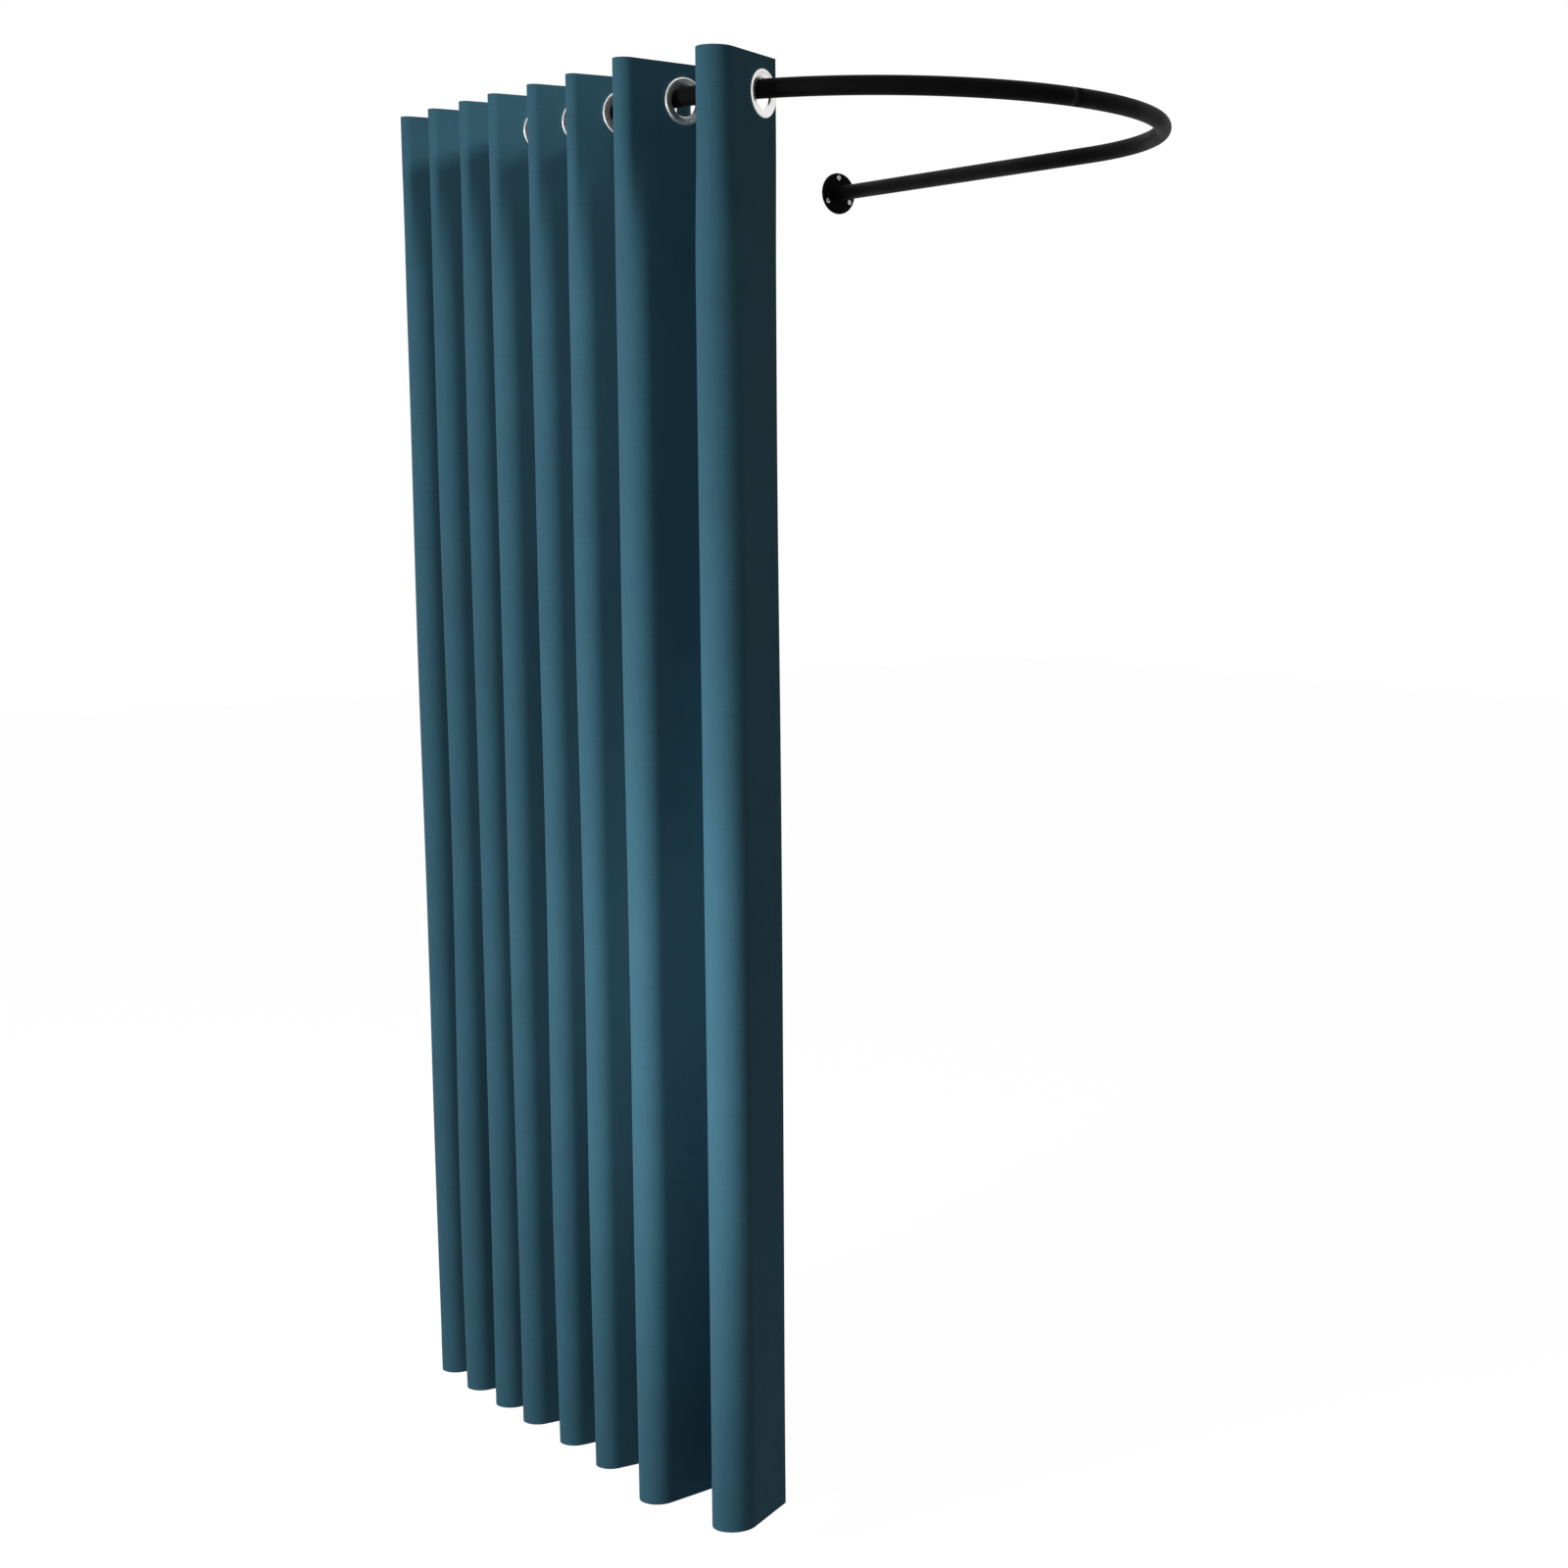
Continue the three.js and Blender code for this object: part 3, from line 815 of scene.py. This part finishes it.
# %% [markdown]
# ## The eyelets
#
# An eyelet comes in two rings that are pressed together through a hole in the cloth. The front one has a bead
# round its rim, a dish that falls from the bead to the hole, and a barrel that goes through the cloth. The
# dish is what makes it look like metal: it mirrors the dark rail, while the bead catches the light. The back
# one is a plain rounded ring of the same outer size. The two are separate pieces here as well, turned from
# two outlines.

# %% Turn the eyelets' rings
RIM_FACE = 0.85 * MM
FRONT_RIM = [(0.05, 1.4), (0.26, 2.3), (0.52, 3.1), (0.76, 3.7), (0.87, 3.7), (0.95, 3.1), (0.99, 1.9)]
BACK_RIM = [(0, 2.3), (0.15, 3.1), (0.40, 3.5), (0.66, 3.4), (0.87, 2.8), (0.99, 1.8)]
BARREL_END = -2.0 * MM
BACK_CLEARANCE = 0.5 * MM
RING_SEGMENTS = 72
RING_FILLET = 0.5 * MM


def rim(inner_radius, shape):
    """Points of a rim. Each has its share of the way out from the inner radius, and its height in mm."""
    return [(inner_radius + share * (rim_radius - inner_radius), height * MM) for share, height in shape]


back_bore = barrel_radius + BACK_CLEARANCE
front_outline = [(barrel_radius, RIM_FACE), (barrel_radius, BARREL_END), (bore_radius, BARREL_END),
                 *rim(bore_radius, FRONT_RIM), (rim_radius, RIM_FACE)]
back_outline = [(back_bore, RIM_FACE), *rim(back_bore, BACK_RIM), (rim_radius, RIM_FACE)]

for number, eyelet in enumerate(eyelets, 1):
    for label, ring_outline, node, axis in (
        ("front", front_outline, eyelet.rings[0], eyelet.axis),
        ("back", back_outline, eyelet.rings[1], -eyelet.axis),
    ):
        ring = turn_outline(f"eyelet_ring_{label}_{number:02d}", ring_outline, {
            "Segments": RING_SEGMENTS, "Fillet": RING_FILLET, "Place": Vector(eyelet.centre),
            "Turn": turn_to(axis), "Material": nickel,
        }, closes=True)
        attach(ring, eyelet.body)
        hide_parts(node)
print("eyelet rings:", 2 * len(eyelets))

# %% [markdown]
# ## The wall flanges
#
# Each arm of the rail ends on a round plate. A spigot on the plate sits inside the tube, so no collar shows:
# the tube seems to grow out of the plate. The plate's edge is broken with a small round so that the powder
# holds.

# %% Turn the flanges
PLATE_THICKNESS = 4 * MM
SPIGOT_RADIUS = 10.7 * MM
FLANGE_SEGMENTS = 96
FLANGE_FILLET = 1.1 * MM
OUT_OF_WALL = (0, -1, 0)

flange_names = ["wall_flange_left", "wall_flange_right"]
low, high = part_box(flange_names[0])
flange_radius = (high.x - low.x) / 2
spigot_length = -low.y
flange_outline = [(0, spigot_length), (SPIGOT_RADIUS, spigot_length), (SPIGOT_RADIUS, PLATE_THICKNESS),
                  (flange_radius, PLATE_THICKNESS), (flange_radius, 0), (0, 0)]
for name in flange_names:
    low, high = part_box(name)
    flange = turn_outline(name.replace("wall_flange", "flange_plate"), flange_outline, {
        "Segments": FLANGE_SEGMENTS, "Fillet": FLANGE_FILLET, "Place": Vector(((low.x + high.x) / 2, 0, 0)),
        "Turn": turn_to(OUT_OF_WALL), "Material": black_coat,
    })
    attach(flange, "rail")
    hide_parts(name)
print("flange radius:", round(flange_radius / MM, 1), "mm")

# %% [markdown]
# ## The wall screws
#
# Three screws hold each flange. One screw is turned and its cross recess is cut with a boolean. Geometry
# Nodes then set a copy on each of six places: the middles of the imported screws, on the face of the plates.

# %% Turn one screw
HEAD_RADIUS, HEAD_RISE = 4.2 * MM, 0.8 * MM
DOME = [(0, 1), (0.45, 0.85), (0.8, 0.45), (1, 0)]
SHANK_RADIUS, SHANK_START, SHANK_END = 2.2 * MM, -2.0 * MM, -3.6 * MM
SCREW_SEGMENTS = 40
SCREW_FILLET = 0.2 * MM

dome = [(share_out * HEAD_RADIUS, share_up * HEAD_RISE) for share_out, share_up in DOME]
screw_outline = [*dome, (SHANK_RADIUS, SHANK_START), (SHANK_RADIUS, SHANK_END), (0, SHANK_END)]
pattern = turn_outline("screw_pattern", screw_outline, {
    "Segments": SCREW_SEGMENTS, "Fillet": SCREW_FILLET, "Turn": turn_to(OUT_OF_WALL), "Material": zinc,
})
print("screw pattern, faces:", len(pattern.data.polygons))

# %% A tree that cuts the recess and sets the screws
fixing, given = new_tree("screws in their places", {
    "Screw": "Object", "Recess Length": "Float", "Recess Width": "Float", "Recess Depth": "Float",
    "Head Rise": "Float", "Material": "Material",
})
screw = put(fixing, "GeometryNodeObjectInfo", {"Object": given["Screw"]}).outputs["Geometry"]
top_y = put(fixing, "ShaderNodeMath", {0: given["Head Rise"], 1: -1.0}, operation="MULTIPLY").outputs[0]
head_top = put(fixing, "ShaderNodeCombineXYZ", {"Y": top_y}).outputs[0]
slots = []
for length, width in (("Recess Length", "Recess Width"), ("Recess Width", "Recess Length")):
    size = put(fixing, "ShaderNodeCombineXYZ", {
        "X": given[length], "Y": given["Recess Depth"], "Z": given[width],
    }).outputs[0]
    box = put(fixing, "GeometryNodeMeshCube", {"Size": size}).outputs[0]
    slots.append(put(fixing, "GeometryNodeTransform", {"Geometry": box, "Translation": head_top}).outputs[0])
crossed = put(fixing, "GeometryNodeMeshBoolean", {"Mesh": slots[0]}, operation="UNION", solver="EXACT")
fixing.links.new(slots[1], crossed.inputs["Mesh"])
recessed = put(fixing, "GeometryNodeMeshBoolean", {"Mesh 1": screw, "Mesh 2": crossed.outputs[0]},
               operation="DIFFERENCE", solver="EXACT").outputs[0]
copies = put(fixing, "GeometryNodeInstanceOnPoints", {
    "Points": given["Geometry"], "Instance": recessed,
}).outputs[0]
finish_tree(fixing, copies, given["Material"])
print("tree:", fixing.name, "nodes:", len(fixing.nodes))

# %% Set the screws
RECESS_LENGTH, RECESS_WIDTH, RECESS_DEPTH = 4.4 * MM, 0.9 * MM, 2.4 * MM

screw_names = sorted(name for name in frame["nodes"] if name.startswith("wall_screw"))
screw_places = []
for name in screw_names:
    low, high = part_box(name)
    screw_places.append(((low.x + high.x) / 2, -PLATE_THICKNESS, (low.z + high.z) / 2))
screws = made_by(fixing, "wall_screws", screw_places, [], {
    "Screw": pattern, "Recess Length": RECESS_LENGTH, "Recess Width": RECESS_WIDTH,
    "Recess Depth": RECESS_DEPTH, "Head Rise": HEAD_RISE, "Material": zinc,
})
bpy.data.objects.remove(pattern)
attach(screws, "rail")
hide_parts(*screw_names)
print("screws:", len(screw_names), "faces:", len(screws.data.polygons))

# %% [markdown]
# ## The rail
#
# The rail is round tube, bent to a U. In Geometry Nodes a circle is swept along the tube's middle line, and a
# Solidify modifier adds the wall inwards. The rail is made in two halves, which meet in the middle of the
# bend on an inner sleeve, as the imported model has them. A fitter pushes the halves tightly together, so the
# line between them is as thin as a hair. The sleeve doesn't show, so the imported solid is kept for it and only
# plated.

# %% A tree that sweeps a tube
sweeping, given = new_tree("swept tube", {"Tube Radius": "Float", "Sides": "Int", "Material": "Material"})
path = put(sweeping, "GeometryNodeMeshToCurve", {"Mesh": given["Geometry"]}).outputs[0]
section = put(sweeping, "GeometryNodeCurvePrimitiveCircle", {
    "Resolution": given["Sides"], "Radius": given["Tube Radius"],
}).outputs[0]
swept = put(sweeping, "GeometryNodeCurveToMesh", {"Curve": path, "Profile Curve": section}).outputs[0]
finish_tree(sweeping, swept, given["Material"])
print("tree:", sweeping.name, "nodes:", len(sweeping.nodes))

# %% Measure the rail
low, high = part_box("rail_left_half")
tube_radius = high.z
bend_radius = (high.x - low.x) - tube_radius
arm_length = -low.y - tube_radius - bend_radius
tube_start = -high.y
bend_centre = Vector((bend_radius, -arm_length, 0))
print("bend radius:", round(bend_radius, 4), "arm:", round(arm_length, 4), "m")
print("tube radius:", round(tube_radius / MM, 2), "mm, starts", round(tube_start / MM, 2), "mm from the wall")

# %% Sweep the rail's halves
TUBE_WALL = 1.5 * MM
TUBE_SIDES = 48
BEND_STEP = math.radians(1.5)
JOINT_GAP = 0.08 * MM

quarter = math.pi / 2 - JOINT_GAP / 2 / bend_radius
angles = np.linspace(0, quarter, round(quarter / BEND_STEP) + 1)
path_edges = [(i, i + 1) for i in range(len(angles))]
for name, hand in (("rail_left_half", -1), ("rail_right_half", 1)):
    points = [(bend_centre.x + hand * bend_radius, -tube_start, 0)]
    points += [bend_centre + bend_radius * Vector((hand * math.cos(a), -math.sin(a), 0)) for a in angles]
    tube = made_by(sweeping, name.replace("rail", "rail_tube"), points, path_edges, {
        "Tube Radius": tube_radius, "Sides": TUBE_SIDES, "Material": black_coat,
    })
    wall = tube.modifiers.new("wall", "SOLIDIFY")
    wall.thickness = TUBE_WALL
    wall.offset = -1
    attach(tube, "rail")
    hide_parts(name)
print("points on each half's path:", len(angles) + 1)

# %% Plate the sleeve
sleeve = frame["nodes"]["rail_joint_sleeve"]
sleeve.data.materials.clear()
sleeve.data.materials.append(zinc)
print("sleeve:", sleeve.name, "in", zinc.name)

# %% [markdown]
# ## The white ground
#
# The photograph has a white ground, so the floor and the world look white to the camera and to the polished
# metal, while they light the object only as a dim room would. The Light Path node tells a ray that the eye
# follows from one that carries light. For the eye, the floor adds a white glow to a matt grey that keeps the
# curtain's shadow. For the light, it is a matt grey alone.

# %% What the eye sees, and what gives light
WHITE = (1, 1, 1, 1)


def seen_directly(tree):
    """1 where the eye, or polished metal, sees a surface, and 0 where it only passes light on."""
    ray = put(tree, "ShaderNodeLightPath").outputs
    eye_or_metal = {0: ray["Is Camera Ray"], 1: ray["Is Glossy Ray"]}
    seen = put(tree, "ShaderNodeMath", eye_or_metal, operation="MAXIMUM").outputs[0]
    with_glass = {0: seen, 1: ray["Is Transmission Ray"]}
    return put(tree, "ShaderNodeMath", with_glass, operation="MAXIMUM").outputs[0]


def end_tree(tree, output_kind, giving_light, to_the_eye):
    """Ends a tree with one shader that lights the object and another one that the eye sees."""
    shaders = {0: seen_directly(tree), 1: giving_light, 2: to_the_eye}
    mixed = put(tree, "ShaderNodeMixShader", shaders).outputs[0]
    put(tree, output_kind, {"Surface": mixed})


print("helpers: seen_directly, end_tree")

# %% The floor
FLOOR_GAP = 60 * MM
FLOOR_HALF = 12.0
SHADED_GREY = (0.30, 0.30, 0.30, 1)
BOUNCING_GREY = (0.35, 0.35, 0.35, 1)
FLOOR_GLOW = 0.95

floor_z = hem_z - FLOOR_GAP
floor_corners = [(x * FLOOR_HALF, y * FLOOR_HALF, floor_z) for x, y in ((-1, -1), (1, -1), (1, 1), (-1, 1))]
floor_mesh = bpy.data.meshes.new("floor")
floor_mesh.from_pydata(floor_corners, [], [(0, 1, 2, 3)])
floor = bpy.data.objects.new("floor", floor_mesh)
bpy.context.scene.collection.objects.link(floor)
floor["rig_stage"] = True

floor_white = bpy.data.materials.new("floor white")
floor_white.use_nodes = True
tree = floor_white.node_tree
tree.nodes.clear()
matt = put(tree, "ShaderNodeBsdfDiffuse", {"Color": SHADED_GREY}).outputs[0]
glow = put(tree, "ShaderNodeEmission", {"Color": WHITE, "Strength": FLOOR_GLOW}).outputs[0]
lit = put(tree, "ShaderNodeAddShader", {0: matt, 1: glow}).outputs[0]
bouncing = put(tree, "ShaderNodeBsdfDiffuse", {"Color": BOUNCING_GREY}).outputs[0]
end_tree(tree, "ShaderNodeOutputMaterial", bouncing, lit)
floor_mesh.materials.append(floor_white)
print("floor:", 2 * FLOOR_HALF, "m wide, at z", round(floor_z, 3))

# %% The world
ROOM_COLOUR, ROOM_STRENGTH = (1.0, 0.99, 0.96, 1), 0.11

world = bpy.data.worlds.new("room")
world.use_nodes = True
bpy.context.scene.world = world
tree = world.node_tree
tree.nodes.clear()
white = put(tree, "ShaderNodeBackground", {"Color": WHITE, "Strength": 1.0}).outputs[0]
room = put(tree, "ShaderNodeBackground", {"Color": ROOM_COLOUR, "Strength": ROOM_STRENGTH}).outputs[0]
end_tree(tree, "ShaderNodeOutputWorld", room, white)
print("world:", world.name, "nodes:", len(tree.nodes))

# %% [markdown]
# ## The room's light
#
# A broad lamp stands to the left, level with the curtain, as a shop window would: it lights the crests of the
# folds and leaves their flanks in shade. Two narrow spots stand further to the front, a high and a low one,
# so their light comes round the crests. The ceiling lamp hangs above the rail, a little in front of its bend,
# so its light falls between the folds and reaches only the upper part of their flanks. Places, aims and sizes
# are in metres.

# %% Lamps
def lamp(name, kind, place, aim, watts, **settings):
    """A lamp that looks at a point. It gives light, but isn't seen itself."""
    data = bpy.data.lights.new(name, kind)
    data.energy = watts
    for setting, value in settings.items():
        setattr(data, setting, value)
    bulb = bpy.data.objects.new(name, data)
    towards = Vector(aim) - Vector(place)
    bulb.location = place
    bulb.rotation_euler = towards.to_track_quat("-Z", "Y").to_euler()
    bulb.visible_camera = False
    bpy.context.scene.collection.objects.link(bulb)


def spot(name, place, aim, watts, beam, blur, bulb_radius):
    """A spot lamp. Its beam is in degrees, and blur says how soft the beam's edge is, from 0 to 1."""
    lamp(name, "SPOT", place, aim, watts,
         spot_size=math.radians(beam), spot_blend=blur, shadow_soft_size=bulb_radius)


lamp("window", "AREA", place=(-3.6, -0.60, -0.80), aim=(0, -0.40, -0.9), watts=75,
     shape="RECTANGLE", size=1.2, size_y=2.2)
spot("low lamp", place=(-3.2, -1.6, -1.45), aim=(-0.05, -0.97, -1.20), watts=330,
     beam=24, blur=1.0, bulb_radius=0.35)
spot("high lamp", place=(-2.8, -1.8, -0.25), aim=(-0.08, -0.60, -0.32), watts=120,
     beam=16, blur=1.0, bulb_radius=0.35)
spot("ceiling lamp", place=(0.15, -1.20, 1.10), aim=(-0.03, -0.22, -0.02), watts=66,
     beam=21, blur=0.9, bulb_radius=0.22)
bpy.context.scene.view_settings.view_transform = "Standard"

# %% [markdown]
# ## The dressed size
#
# The box round every shown piece of the dressed part is measured, with the floor left out.

# %% Measure the dressed part
low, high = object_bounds()
